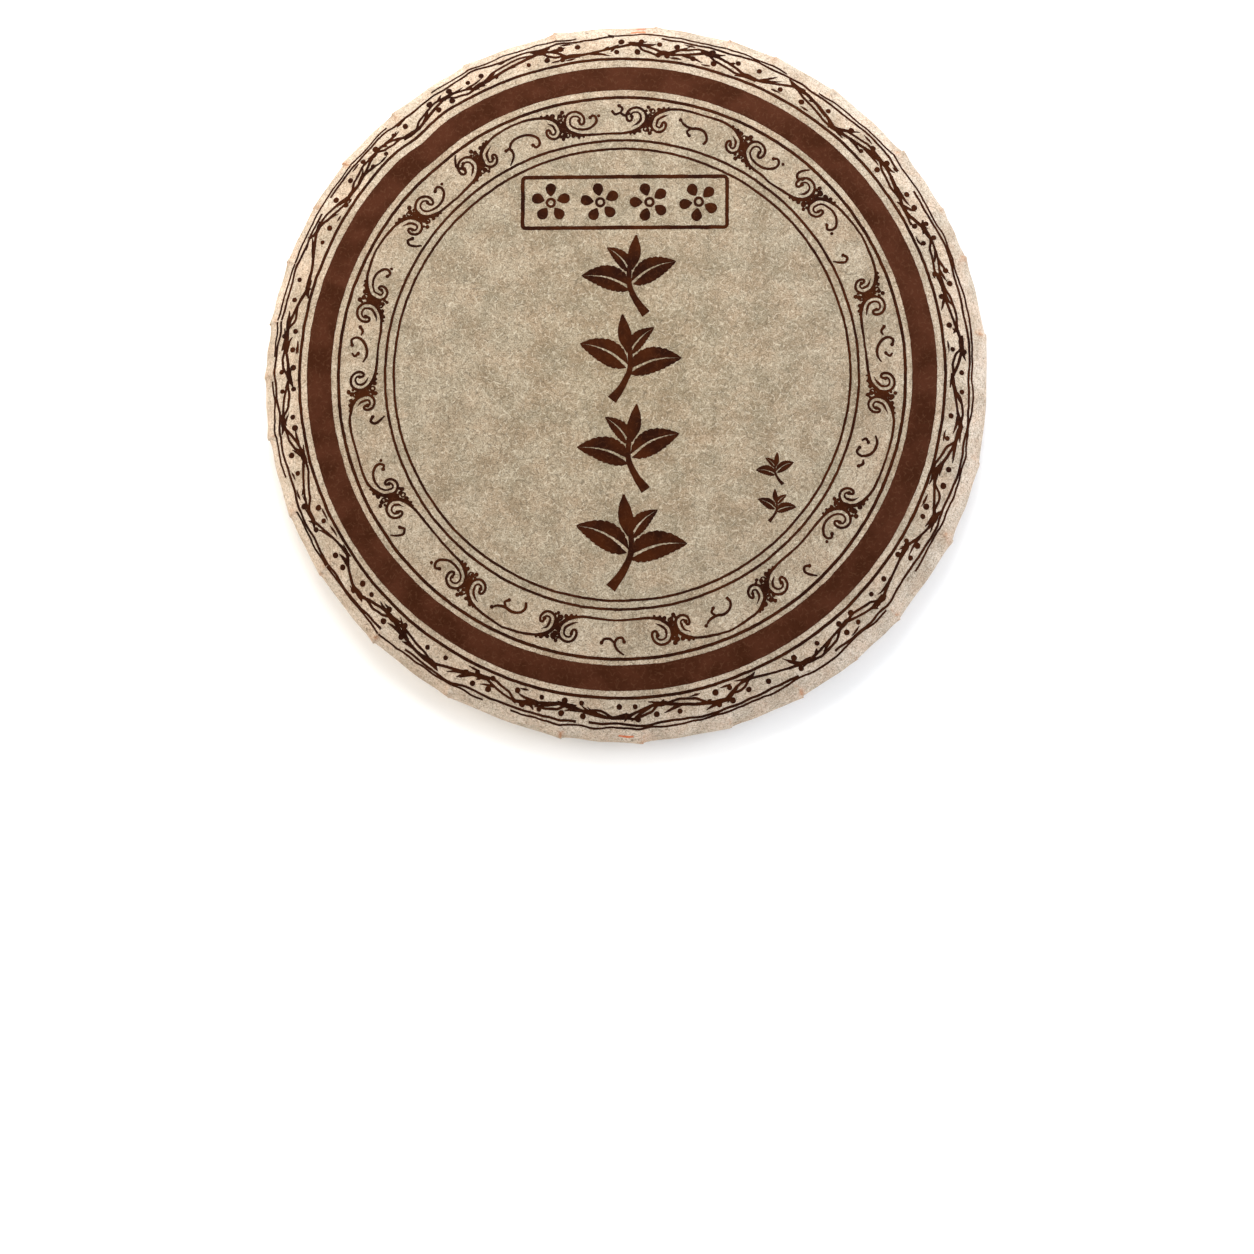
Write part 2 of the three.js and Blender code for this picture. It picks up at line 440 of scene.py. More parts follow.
def layOnPaper(piece, paper):
    # Carries flat points (x, y, height above the paper) to the wrapper's own surface
    flat = readPoints(piece)
    rings, columns, places = paper["rings"], paper["columns"], paper["places"]
    face = np.flatnonzero(rings["onFace"])[::-1]  # from the middle out
    radius = np.hypot(flat[:, 0], flat[:, 1])
    ringAt = np.interp(radius, rings["radius"][face], np.arange(len(face)))
    turned = np.degrees(np.arctan2(flat[:, 1], flat[:, 0])) - columns["direction"][0]
    known = np.append(columns["direction"], columns["direction"][0] + 360) - columns["direction"][0]
    columnAt = np.interp(turned % 360, known, np.arange(len(known)))
    grid = places[face]
    ring = np.minimum(ringAt.astype(int), len(face) - 2)
    column = columnAt.astype(int) % len(columns["direction"])
    nextColumn = (column + 1) % len(columns["direction"])
    outShare = (ringAt - ring)[:, None]
    roundShare = (columnAt - columnAt.astype(int))[:, None]
    here = grid[ring, column] * (1 - outShare) + grid[ring + 1, column] * outShare
    there = grid[ring, nextColumn] * (1 - outShare) + grid[ring + 1, nextColumn] * outShare
    laid = here * (1 - roundShare) + there * roundShare
    outward = np.array([np.interp(ringAt, np.arange(len(face)), line[face]) for line in rings["outward"]])
    direction = np.arctan2(laid[:, 1], laid[:, 0])
    normal = np.stack([outward[0] * np.cos(direction), outward[0] * np.sin(direction), outward[1]], axis=-1)
    writePoints(piece, laid + normal * flat[:, 2:] * mm)


def mergeStrokes(piece):
    # Fuses flat shapes that cross into one, so that no two faces of the print share a place:
    # triangles between all their edges, of which those that lie on a shape are kept
    points = readPoints(piece)
    shapes = BVHTree.FromPolygons([Vector(point) for point in points],
                                  [list(face.vertices) for face in piece.data.polygons])
    edges = [list(edge.vertices) for edge in piece.data.edges]
    places, _, triangles, _, _, _ = geometry.delaunay_2d_cdt(
        [Vector(point[:2]) for point in points], edges, [], 0, 1e-4, True)
    inside = []
    for corners in triangles:
        middle = sum((places[corner] for corner in corners), Vector((0, 0))) / 3
        if shapes.ray_cast(middle.to_3d() + Vector((0, 0, 1)), Vector((0, 0, -1)))[0]:
            inside.append(corners)
    piece.data.clear_geometry()
    piece.data.from_pydata([place.to_3d() for place in places], [], inside)
    activate(piece)
    bpy.ops.object.mode_set(mode="EDIT")
    bpy.ops.mesh.select_all(action="SELECT")
    bpy.ops.mesh.delete_loose()
    bpy.ops.object.mode_set(mode="OBJECT")


def splitLongEdges(piece, longest):
    # So that wide shapes follow the paper
    for _ in range(3):
        points = readPoints(piece)
        bpy.context.tool_settings.mesh_select_mode = (False, True, False)
        for edge in piece.data.edges:
            start, end = edge.vertices
            edge.select = np.hypot(*(points[start] - points[end])[:2]) > longest
        bpy.ops.object.mode_set(mode="EDIT")
        bpy.ops.mesh.subdivide(number_cuts=1)
        bpy.ops.mesh.select_all(action="DESELECT")
        bpy.ops.object.mode_set(mode="OBJECT")


def finishPrint(piece, paper, material, name):
    # Gives a flat printed shape a rough edge and a skin's thickness, and lays it on the paper
    activate(piece)
    piece.name = name
    selectFaces(piece, lambda face: face.normal.z < 0)
    bpy.ops.object.mode_set(mode="EDIT")
    bpy.ops.mesh.flip_normals()
    bpy.ops.object.mode_set(mode="OBJECT")
    points = readPoints(piece)
    rough = printing["roughEdge"]
    (fine, fineX, fineY), (coarse, coarseX, coarseY) = printing["rags"]
    points[:, 0] += rough * noiseAt(points, fine, fineX) + rough * noiseAt(points, coarse, coarseX)
    points[:, 1] += rough * noiseAt(points, fine, fineY) + rough * noiseAt(points, coarse, coarseY)
    points[:, 2] = printing["lift"]
    writePoints(piece, points)
    skin = piece.modifiers.new("skin", "SOLIDIFY")
    skin.thickness = printing["thickness"]
    skin.offset = -1
    bpy.ops.object.modifier_apply(modifier="skin")
    layOnPaper(piece, paper)
    bpy.ops.object.shade_smooth_by_angle(angle=math.radians(printing["smoothAngle"]))
    piece.data.materials.clear()
    piece.data.materials.append(material)
    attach(piece, "root")
    print(name, len(piece.data.polygons), "faces")


# The plain rings, from the pair inside the scroll to the line above the vine.
# They were printed a little off the middle of the cake, and not quite about one centre.
ringPrint = {
    "steps": 1044,
    # middle radius, width, bands across, how much it wavers, its centre
    "lines": [(65.5, 0.72, 1, 0.12, (-0.65, -0.17)), (68.0, 0.76, 1, 0.12, (-0.67, -0.15)),
              (81.5, 0.92, 1, 0.12, (-0.8, -0.72)), (93.0, 0.88, 1, 0.15, (-0.85, -0.12))],
    "band": (87.1, 7.2, 6, 0.12, (-0.92, -0.44)),
    "outer": [(100.3, 0.68, 1, 0.75, (-0.85, -0.1)), (101.4, 0.55, 1, 0.75, (-0.85, -0.1))],
    # directions in degrees where an outer line is worn away: from, to
    "worn": [[(84, 92), (33, 37), (148, 151), (226, 231), (262, 264), (300, 307)],
             [(56, 62), (93, 98), (124, 133), (176, 180), (196, 202), (246, 251), (318, 326)]],
}


def ringStrip(middle, width, bands, waver, centre, seed):
    deselectAll()
    bpy.ops.mesh.primitive_circle_add(vertices=ringPrint["steps"], radius=middle - width / 2)
    piece = bpy.context.object
    bpy.ops.object.mode_set(mode="EDIT")
    bpy.ops.mesh.select_all(action="SELECT")
    for band in range(bands):
        inner = middle - width / 2 + width * band / bands
        scale = (inner + width / bands) / inner
        bpy.ops.mesh.extrude_edges_move()
        bpy.ops.transform.resize(value=(scale, scale, 1))
    bpy.ops.object.mode_set(mode="OBJECT")
    points = readPoints(piece)
    radius = np.hypot(points[:, 0], points[:, 1])
    unit = points / radius[:, None]
    wavering = waver * (noiseAt(unit * middle, 10.0, seed) + 0.5 * noiseAt(unit * middle, 4.5, seed + 1))
    writePoints(piece, unit * (radius + wavering)[:, None] + np.array([*centre, 0]))
    return piece


def wearAway(piece, stretches):
    # Deletes the faces of a ring between the given directions
    def isWorn(face):
        direction = math.degrees(math.atan2(face.center.y, face.center.x)) % 360
        return any(low < direction < high for low, high in stretches)

    activate(piece)
    selectFaces(piece, isWorn)
    bpy.ops.object.mode_set(mode="EDIT")
    bpy.ops.mesh.delete(type="FACE")
    bpy.ops.object.mode_set(mode="OBJECT")


def joinPieces(pieces):
    activate(pieces[0])
    for piece in pieces:
        piece.select_set(True)
    bpy.ops.object.join()
    return bpy.context.object


def makeRings(paper, ink, bandInk):
    lines = [ringStrip(*line, seed=20 + 2 * k) for k, line in enumerate(ringPrint["lines"])]
    finishPrint(joinPieces(lines), paper, ink, "print_rings")
    finishPrint(ringStrip(*ringPrint["band"], seed=40), paper, bandInk, "print_band")
    outer = [ringStrip(*line, seed=50 + 2 * k) for k, line in enumerate(ringPrint["outer"])]
    for piece, stretches in zip(outer, ringPrint["worn"]):
        wearAway(piece, stretches)
    finishPrint(joinPieces(outer), paper, ink, "print_outer_lines")


# Strokes: each is a list of (x, y, width), drawn as one flat ribbon along a smooth line

def smoothStroke(points, gap=0.45):
    # A Catmull-Rom line through the points, sampled about every `gap` millimetres
    points = np.array(points, float)
    if len(points) < 3:
        count = max(2, int(np.hypot(*(points[-1] - points[0])[:2]) / gap) + 1)
        return points[0] + np.linspace(0, 1, count)[:, None] * (points[-1] - points[0])
    padded = np.vstack([2 * points[0] - points[1], points, 2 * points[-1] - points[-2]])
    rows = []
    for k in range(len(points) - 1):
        before, start, end, after = padded[k:k + 4]
        count = max(2, int(math.ceil(np.hypot(*(end - start)[:2]) / gap)))
        share = np.linspace(0, 1, count, endpoint=False)[:, None]
        square = 2 * before - 5 * start + 4 * end - after
        cube = 3 * start - before - 3 * end + after
        rows.append(0.5 * (2 * start + (end - before) * share + square * share ** 2 + cube * share ** 3))
    rows.append(points[-1:])
    line = np.vstack(rows)
    line[:, 2] = np.maximum(line[:, 2], printing["thinnest"])
    return line


def alongStroke(line):
    # Distance from the start, and the unit direction to the left of the stroke
    step = np.gradient(line[:, :2], axis=0)
    length = np.maximum(np.hypot(*step.T), 1e-6)
    travelled = np.concatenate([[0], np.cumsum(np.hypot(*np.diff(line[:, :2], axis=0).T))])
    return travelled, np.stack([-step[:, 1], step[:, 0]], axis=-1) / length[:, None]


def ribbons(lines):
    # All lines as the splines of one curve, whose flat ribbons are then made a mesh
    deselectAll()
    bpy.ops.curve.primitive_nurbs_path_add()
    drawing = bpy.context.object
    curve = drawing.data
    curve.splines.clear()
    curve.extrude = 0.5
    curve.twist_mode = "Z_UP"
    for line in lines:
        spline = curve.splines.new("POLY")
        spline.points.add(len(line) - 1)
        for point, (x, y, width) in zip(spline.points, line):
            point.co = (x, y, 0, 1)
            point.radius = width
            point.tilt = math.pi / 2
    bpy.ops.object.convert(target="MESH")
    piece = bpy.context.object
    mergeStrokes(piece)
    splitLongEdges(piece, printing["longestEdge"])
    return piece


def dot(x, y, across):
    # A round dot as a short ribbon whose width follows the circle
    turn = np.linspace(-1, 1, 9) * math.pi / 2
    return np.stack([x + np.sin(turn) * across / 2, y + 0 * turn,
                     np.maximum(np.cos(turn) * across, printing["thinnest"])], axis=-1)


def ringMark(x, y, across, width):
    # A small open ring, as a stroke that closes on itself
    turn = np.linspace(0, 2 * math.pi, 17)
    return np.stack([x + np.cos(turn) * across / 2, y + np.sin(turn) * across / 2,
                     width + 0 * turn], axis=-1)


def wrapToRing(lines, atDegrees, ring):
    # Bends flat lines, x clockwise along the ring and y out from it, to their place on the face
    bent = []
    for line in lines:
        direction = np.radians(atDegrees) - line[:, 0] / ring["meanRadius"]
        radius = ring["innerRadius"] + line[:, 1]
        bent.append(np.stack([radius * np.cos(direction) + ring["centre"][0],
                              radius * np.sin(direction) + ring["centre"][1], line[:, 2]], axis=-1))
    return bent


# The scroll: arches that stand and hang in turn, each with two hooked ends, and leafy
# clusters where the ends meet back to back
scroll = {
    "innerRadius": 68.0,
    "meanRadius": 75.0,
    "depth": 13.5,
    "centre": (-0.73, -0.44),
    "nodes": [17.9, 42.9, 62.0, 83.9, 103.2, 123.2, 141.6, 162.9, 183.6, 208.0, 233.7, 255.7,
              281.6, 303.6, 329.0, 355.4],
    # half an arch, measured from the node and from the ring that it stands on: its crown, the
    # outer line down to the foot, the foot's middle and radius
    "standing": {"crown": 11.6, "foot": (3.1, 5.7, 2.3),
                 "shoulder": [(8.7, 11.4), (5.4, 10.7), (3.0, 9.5), (1.4, 8.0)]},
    "hanging": {"crown": 11.1, "foot": (3.7, 6.0, 2.8),
                "shoulder": [(8.8, 11.0), (5.9, 10.7), (3.6, 9.9), (1.9, 8.7), (1.05, 7.4)]},
    "crownVaries": 0.5,
    # round the foot: direction in degrees and the outer line's radius, as a share of the foot's.
    # It turns back sharply at the tip and ends in a ball beside the inner line.
    "outerFoot": [(180, 1), (215, 1), (250, 1), (285, 0.98), (320, 0.95), (348, 0.92), (372, 0.9),
                  (390, 0.82), (398, 0.62), (384, 0.44), (354, 0.38)],
    # the inner line's way round it: direction, and distance from the outer line as a share of the gap
    "innerFoot": [(180, 1), (220, 1), (260, 0.98), (300, 0.93), (335, 0.95), (356, 1.05)],
    "footVaries": (0.92, 1.06),   # a foot's radius, as a share of its usual one
    "gap": 1.45,                  # between the two lines of a stem
    "fadeReach": (4.5, 8.0),      # how far up the stem an inner line goes that fades out
    "outerLine": 0.76,
    "innerLine": 0.58,
    "crownLine": 0.6,
    "ball": 1.1,
    # the leaf on the stem's back: distance up the stem from the foot's side, distance out from
    # the stem, and width there; then its lobes, with their own width, and whether one has an eye
    "leaf": [(8.0, 0.1, 0.2), (6.6, 0.3, 0.5), (5.0, 0.5, 0.9), (3.2, 0.4, 0.5), (1.4, 0.5, 0.8),
             (-0.6, 0.3, 0.5), (-2.6, 0.2, 0.4)],
    "lobes": [(-1.8, 0.6, 0.9, False), (-0.5, 1.2, 1.1, True), (1.2, 1.0, 1.3, False),
              (2.8, 1.5, 1.25, True), (4.3, 1.0, 1.3, False), (5.7, 0.8, 1.0, False),
              (7.0, 0.55, 0.75, False)],
    "eyeLine": 0.48,
    # balls that fill a node, from its middle: x, y, across; turned half round at its other end
    "balls": [(0.0, 0.6, 0.9), (0.1, 1.7, 1.1), (0.2, 3.0, 1.4), (-0.6, 3.9, 1.2)],
    # the inner line may run on and curl up in the bay, from where it leaves the stem
    "runnerReach": 5.2,
    "runner": [(0, 0, 0.66), (2.3, 0.5, 0.72), (4.6, 0.1, 0.78), (6.4, -1.3, 0.8), (6.7, -2.9, 0.75),
               (5.8, -3.9, 0.75), (4.7, -3.3, 0.75)],
    "runnerBud": (7.6, -3.6, 0.95),
    "runnerOdds": {"standing": 0.25, "hanging": 0.7},
    # other growth, from the middle of the bay and the ring that the arch stands on
    "tendrils": [
        [[(-6.3, 0.2, 0.4), (-4.8, 1.5, 0.65), (-3.8, 3.2, 0.7), (-4.2, 4.8, 0.8), (-5.4, 4.8, 0.8)],
         [(-4.4, 4.6, 0.7), (-3.0, 6.3, 0.8), (-1.0, 6.9, 0.8), (1.2, 6.8, 0.75), (3.3, 6.0, 0.8),
          (4.7, 4.5, 0.8), (4.6, 2.8, 0.75), (3.3, 2.2, 0.75), (2.6, 3.1, 0.8)]],
        [[(-5.4, 6.2, 0.4), (-3.3, 7.2, 0.8), (-0.9, 6.9, 0.85), (0.9, 5.5, 0.8), (1.6, 3.7, 0.75),
          (0.8, 2.3, 0.75), (-0.6, 2.7, 0.8)],
         [(2.4, 4.8, 0.5), (3.6, 5.2, 0.8), (4.7, 4.2, 0.8)],
         [(-2.8, 2.8, 0.5), (-3.7, 3.7, 0.8), (-2.9, 4.7, 0.7)]],
        [[(-3.9, 4.1, 0.8), (-2.5, 5.8, 0.85), (-0.5, 6.2, 0.8), (1.0, 4.9, 0.75), (0.5, 3.3, 0.75),
          (-0.8, 3.2, 0.8)],
         [(2.6, 1.4, 0.5), (3.9, 2.6, 0.85), (5.2, 2.0, 0.8)]],
        [[(3.4, 2.2, 0.8), (3.9, 3.9, 0.8), (2.8, 5.6, 0.8), (0.7, 6.3, 0.85), (-1.5, 5.9, 0.8),
          (-3.6, 6.4, 0.75), (-5.1, 7.6, 0.4)],
         [(-1.6, 5.8, 0.7), (-2.4, 4.6, 0.75), (-1.5, 3.6, 0.8)]],
        [[(-2.2, 0.2, 0.4), (-0.6, 1.5, 0.7), (0.3, 3.2, 0.8), (-0.3, 4.8, 0.8), (-1.8, 5.0, 0.75),
          (-2.3, 3.9, 0.8)],
         [(0.3, 3.5, 0.6), (1.6, 4.6, 0.8), (3.1, 4.6, 0.8), (4.0, 3.5, 0.8)]],
    ],
    # small growth for a bay that already has a runner
    "sprouts": [
        [[(-2.6, 0.2, 0.4), (-1.4, 1.8, 0.7), (-0.8, 3.4, 0.75), (-1.7, 4.5, 0.8), (-2.9, 3.7, 0.8)]],
        [[(-2.4, 3.4, 0.8), (-1.4, 4.6, 0.8), (0.0, 4.2, 0.7), (1.3, 5.0, 0.8), (2.4, 4.4, 0.8)],
         [(0.2, 4.0, 0.6), (0.6, 2.8, 0.75), (-0.3, 2.0, 0.7)]],
        [[(-1.4, 2.6, 0.5), (0.0, 3.7, 0.85), (1.5, 3.3, 0.7)]],
    ],
    "tendrilBall": 1.1,
    # where that growth stands: across the bay, as a share of it, and up from the ring
    "growthAcross": {"tendrils": 0.5, "sprouts": 0.68},
    "growthUp": 0.7,
    "seed": 11,
}


def archHalf(span, kind, crownHeight, runs, chance):
    # Left half of an arch: the outer line from crown to foot, then all that goes with it
    shape = scroll[kind]
    x, y, radius = shape["foot"]
    size = radius * chance.uniform(*scroll["footVaries"])
    middleX, middleY = x - radius + size, y + chance.uniform(-0.25, 0.25)
    crown = [(span / 2, crownHeight, scroll["crownLine"])]
    shoulder = [(min(x, span / 2 - 2), y + chance.uniform(-0.12, 0.12), scroll["outerLine"])
                for x, y in shape["shoulder"]]

    def onFoot(direction, reach, width):
        turn = math.radians(direction)
        return (middleX + reach * math.cos(turn), middleY + reach * math.sin(turn), width)

    outerFoot = [onFoot(direction, size * share, scroll["outerLine"])
                 for direction, share in scroll["outerFoot"]]
    innerFoot = [onFoot(direction, max(size - scroll["gap"] * share, 0.7), scroll["innerLine"])
                 for direction, share in scroll["innerFoot"]]
    outerLine = smoothStroke(crown + shoulder + outerFoot)
    travelled, leftWards = alongStroke(outerLine)
    # the stem's second line runs beside the first, then fades out or runs on as a tendril
    stem = smoothStroke(crown + shoulder + outerFoot[:1])
    stemTravelled, stemLeft = alongStroke(stem)
    fromFoot = stemTravelled[-1] - stemTravelled
    reach = scroll["runnerReach"] if runs else chance.uniform(*scroll["fadeReach"])
    near = fromFoot < reach
    beside = stem[near].copy()
    beside[:, :2] += stemLeft[near] * scroll["gap"]
    lines = [dot(outerLine[-1, 0], outerLine[-1, 1], scroll["ball"] * chance.uniform(0.9, 1.1))]
    if runs:
        beside[:, 2] = scroll["innerLine"]
        startX, startY = beside[0, :2]
        growth = chance.uniform(0.85, 1.1)
        runner = smoothStroke([(startX + x * growth, startY + y * growth, width)
                               for x, y, width in scroll["runner"]])
        budX, budY, bud = scroll["runnerBud"]
        lines += [runner, dot(runner[-1, 0], runner[-1, 1], scroll["tendrilBall"]),
                  dot(startX + budX * growth, startY + budY * growth, bud)]
    else:
        beside[:, 2] = scroll["innerLine"] * smoothstep(reach, reach - 3, fromFoot[near]) + 0.15
    lines.append(np.vstack([beside[:-1], smoothStroke(innerFoot)]))

    def onBack(away, out):
        # A place on the stem's back, `away` up from the foot's side and `out` from the outer line
        at = stemTravelled[-1] - away
        placeX, placeY = [np.interp(at, travelled, outerLine[:, k]) for k in (0, 1)]
        sideX, sideY = [np.interp(at, travelled, leftWards[:, k]) for k in (0, 1)]
        return placeX - sideX * out, placeY - sideY * out

    lines.append(smoothStroke([(*onBack(away, out), width) for away, out, width in scroll["leaf"]]))
    for away, out, across, hasEye in scroll["lobes"]:
        x, y = onBack(away + chance.uniform(-0.25, 0.25), out * chance.uniform(0.85, 1.1))
        if hasEye:
            lines.append(ringMark(x, y, across, scroll["eyeLine"]))
        else:
            lines.append(dot(x, y, across * chance.uniform(0.85, 1.15)))
    return outerLine, lines


def makeArch(span, kind, chance):
    # A whole arch with what grows under it, x from 0 to span and y up from the ring
    crownHeight = scroll[kind]["crown"] + chance.uniform(-1, 1) * scroll["crownVaries"]
    runs = chance.random() < scroll["runnerOdds"][kind]
    leftOuter, lines = archHalf(span, kind, crownHeight, runs, chance)
    rightOuter, rightLines = archHalf(span, kind, crownHeight, False, chance)
    for line in [rightOuter] + rightLines:
        line[:, 0] = span - line[:, 0]
    lines += rightLines
    lines.append(np.vstack([leftOuter[::-1], rightOuter[1:]]))
    grown = "sprouts" if runs else "tendrils"
    growth = scroll[grown]
    way = chance.choice((1, -1))
    middle = span * scroll["growthAcross"][grown] + chance.uniform(-0.8, 0.8)
    for stroke in growth[chance.randrange(len(growth))]:
        line = smoothStroke(stroke)
        line[:, 0] = middle + way * line[:, 0]
        line[:, 1] += scroll["growthUp"]
        lines += [line, dot(line[-1, 0], line[-1, 1], scroll["tendrilBall"])]
    return lines


def makeScroll(paper, ink):
    chance = random.Random(scroll["seed"])
    drawn = []
    nodes = scroll["nodes"][::-1]  # clockwise, as the flat drawing runs
    for bay, start in enumerate(nodes):
        hanging = bay % 2 == 1
        width = math.radians((start - nodes[(bay + 1) % len(nodes)]) % 360)
        lines = makeArch(width * scroll["meanRadius"], "hanging" if hanging else "standing", chance)
        if hanging:
            for line in lines:
                line[:, 1] = scroll["depth"] - line[:, 1]
        for turned in (1, -1):
            mirrored = -turned if hanging else turned
            for x, y, across in scroll["balls"]:
                lines.append(dot(mirrored * x + chance.uniform(-0.15, 0.15),
                                 scroll["depth"] / 2 + turned * y, across * chance.uniform(0.85, 1.15)))
        drawn += wrapToRing(lines, start, scroll)
    finishPrint(ribbons(drawn), paper, ink, "print_scroll")


# The vine: a crooked branch with long pointed side shoots, that runs between two rows of dots
vine = {
    "innerRadius": 93.5,
    "meanRadius": 96.7,
    "depth": 6.4,
    "centre": (-0.85, -0.12),
    "bends": 44,                  # round the cake
    "low": 1.3,
    "high": 4.9,
    "line": 0.8,
    "elbow": (1.1, 1.8),          # width of the branch at a bend, smallest and largest
    "bow": (0.2, 1.1),            # how far a stretch of branch bows
    "splitOdds": 0.8,             # that it is drawn as two lines, with a bare core between them
    "core": 1.55,
    # what grows on a stretch: how many, their length, and their angle to it in degrees
    "shoots": {"count": (1, 3), "length": (3.5, 7.5), "angle": (14, 34), "shortest": 1.6},
    "thorns": {"count": (0, 2), "length": (1.1, 2.0), "angle": (25, 50)},
    "tipGap": 0.3,                # from a shoot's tip to the edge of the vine's strip
    "dot": (1.35, 1.85),
    "dotRoom": 2.3,               # a dot needs this much room beside the branch
    # dashes beside the two lines that bound the vine: place across the strip, and odds
    "dashes": [(0.8, 0.5), (5.8, 0.4)],
    "dash": (1.8, 4.2),
    "seed": 23,
}


def pointedStroke(x, y, length, degrees, width, bow, start=1.0):
    # A shoot that leaves the branch at an angle, bows a little and ends in a point
    lean = math.radians(degrees)
    along = np.array((math.cos(lean), math.sin(lean)))
    across = np.array((-math.sin(lean), math.cos(lean)))
    points = [(0, 0, start), (0.35, 0.6 * bow, 0.85), (0.7, bow, 0.6), (1, 0.7 * bow, 0.15)]
    return smoothStroke([(*((x, y) + (along * share + across * off) * length), wide * width)
                         for share, off, wide in points])


def makeBranch(start, end, chance):
    # One stretch of the vine, from bend to bend, with its shoots and thorns
    (x, y), (nextX, nextY) = start, end
    runX, runY = nextX - x, nextY - y
    down = 1 if runY < 0 else -1
    bow = down * chance.uniform(*vine["bow"])
    elbow = chance.uniform(*vine["elbow"])
    thick = vine["line"] * chance.uniform(0.9, 1.3)
    before, after = chance.uniform(1.0, 3.0), chance.uniform(2.0, 4.5)
    main = smoothStroke([(x - before, y + 0.4 * down * before, 0.3), (x, y, elbow),
                         (x + 0.3 * runX, y + 0.3 * runY + bow, thick),
                         (x + 0.66 * runX, y + 0.66 * runY + 0.8 * bow, thick * 0.9),
                         (nextX, nextY, thick), (nextX + after, nextY - 0.2 * down * after, 0.3)])
    travelled, leftWards = alongStroke(main)
    share = travelled / travelled[-1]
    slope = math.degrees(math.atan2(runY, runX))
    lines = [main]
    if chance.random() < vine["splitOdds"]:
        leave, back = chance.uniform(0.1, 0.25), chance.uniform(0.65, 0.95)
        inCore = (share > leave) & (share < back)
        along = share[inCore]
        apart = smoothstep(leave, leave + 0.2, along) * (1 - smoothstep(back - 0.25, back, along))
        beside = main[inCore].copy()
        beside[:, :2] -= leftWards[inCore] * (down * vine["core"] * apart)[:, None]
        beside[:, 2] = vine["line"] * 0.9
        lines.append(beside)
    shoots, thorns = vine["shoots"], vine["thorns"]
    for _ in range(chance.randint(*shoots["count"])):
        x, y = main[int(chance.uniform(0.1, 0.75) * (len(main) - 1)), :2]
        side = chance.choice((1, -1))
        degrees = slope + side * chance.uniform(*shoots["angle"])
        rise = math.sin(math.radians(degrees))
        room = (vine["depth"] - y if rise > 0 else y) - vine["tipGap"]
        length = min(chance.uniform(*shoots["length"]), room / max(abs(rise), 0.05))
        if length > shoots["shortest"]:
            bow = -side * chance.uniform(0.02, 0.12)
            lines.append(pointedStroke(x, y, length, degrees, thick * 1.2, bow))
    for _ in range(chance.randint(*thorns["count"])):
        x, y = main[int(chance.uniform(0.05, 0.9) * (len(main) - 1)), :2]
        side = chance.choice((1, -1))
        degrees = slope + side * chance.uniform(*thorns["angle"]) + chance.choice((0, 180))
        length = chance.uniform(*thorns["length"])
        lines.append(pointedStroke(x, y, length, degrees, thick * 1.3, bow=0.1))
    return lines


def makeVine(paper, ink):
    chance = random.Random(vine["seed"])
    wholeWay = 2 * math.pi * vine["meanRadius"]
    step = wholeWay / vine["bends"]
    bends = []
    for k in range(vine["bends"]):
        level = vine["low"] if k % 2 else vine["high"]
        inward = chance.choice((0.0, 0.0, 1.0)) * (1 if k % 2 else -1)
        bendX = k * step + chance.uniform(-0.3, 0.3) * step
        bends.append((bendX, level + inward + chance.uniform(-0.5, 0.5)))
    bends.append((bends[0][0] + wholeWay, bends[0][1]))
    lines = []
    for (x, y), (nextX, nextY) in zip(bends[:-1], bends[1:]):
        lines += makeBranch((x, y), (nextX, nextY), chance)
        for side in (1, -1):
            for at in (0.2, 0.8):
                branchY = y + at * (nextY - y)
                clear = (vine["depth"] - branchY) if side > 0 else branchY
                if clear > vine["dotRoom"]:
                    dotX = x + (at + chance.uniform(-0.1, 0.1)) * (nextX - x)
                    dotY = branchY + side * clear * chance.uniform(0.5, 0.58)
                    lines.append(dot(dotX, dotY, chance.uniform(*vine["dot"])))
        for level, odds in vine["dashes"]:
            if chance.random() < odds:
                dashX = x + chance.uniform(-0.2, 0.8) * step
                degrees = chance.uniform(-6, 6) + chance.choice((0, 180))
                length = chance.uniform(*vine["dash"])
                lines.append(pointedStroke(dashX, level, length, degrees, width=0.75, bow=0.05, start=0.2))
    drawn = wrapToRing(lines, 90, vine)
    finishPrint(ribbons(drawn), paper, ink, "print_vine")


# The middle of the face: a framed row of rosettes, four leaf sprigs below it, two small ones beside
middlePrint = {
    "frame": {"middle": (0.3, 49.6), "size": (58.8, 14.9), "corner": 0.9, "line": 1.1},
    # each rosette is turned a little further than the one before it
    "rosettes": {"count": 4, "across": 11.4, "gap": 14.2, "turn": 9},
    # x, y, size, lean in degrees
    "sprigs": [(2.2, 28.2, 27.0, 5), (1.2, 4.2, 29.0, -5), (2.0, -21.8, 29.0, 4), (1.4, -49.0, 31.5, -6)],
    "smallSprigs": [(43.5, -28.0, 11.0, 8), (43.5, -38.6, 11.0, -8)],
}

# What is left of a faded red mark on the margin, above the print and below it
redMark = {
    "strokes": [[(1.4, 101.9, 0.4), (3.6, 102.1, 0.6), (5.8, 101.9, 0.5)],
                [(1.9, 103.3, 0.2), (3.8, 103.5, 0.36), (5.4, 103.3, 0.2)],
                [(-1.6, -103.4, 0.3), (0.8, -103.6, 0.5), (2.9, -103.4, 0.3)]],
}


def placed(lines, x, y, scale, degrees, mirrored=1):
    # Flat lines turned about their origin, scaled and moved; -1 mirrors them left to right first
    turn = math.radians(degrees)
    moved = []
    for line in lines:
        line = np.array(line, float)
        line[:, 0] *= mirrored
        turned = np.stack([line[:, 0] * math.cos(turn) - line[:, 1] * math.sin(turn),
                           line[:, 0] * math.sin(turn) + line[:, 1] * math.cos(turn)], axis=-1)
        moved.append(np.column_stack([turned * scale + (x, y), line[:, 2] * scale]))
    return moved


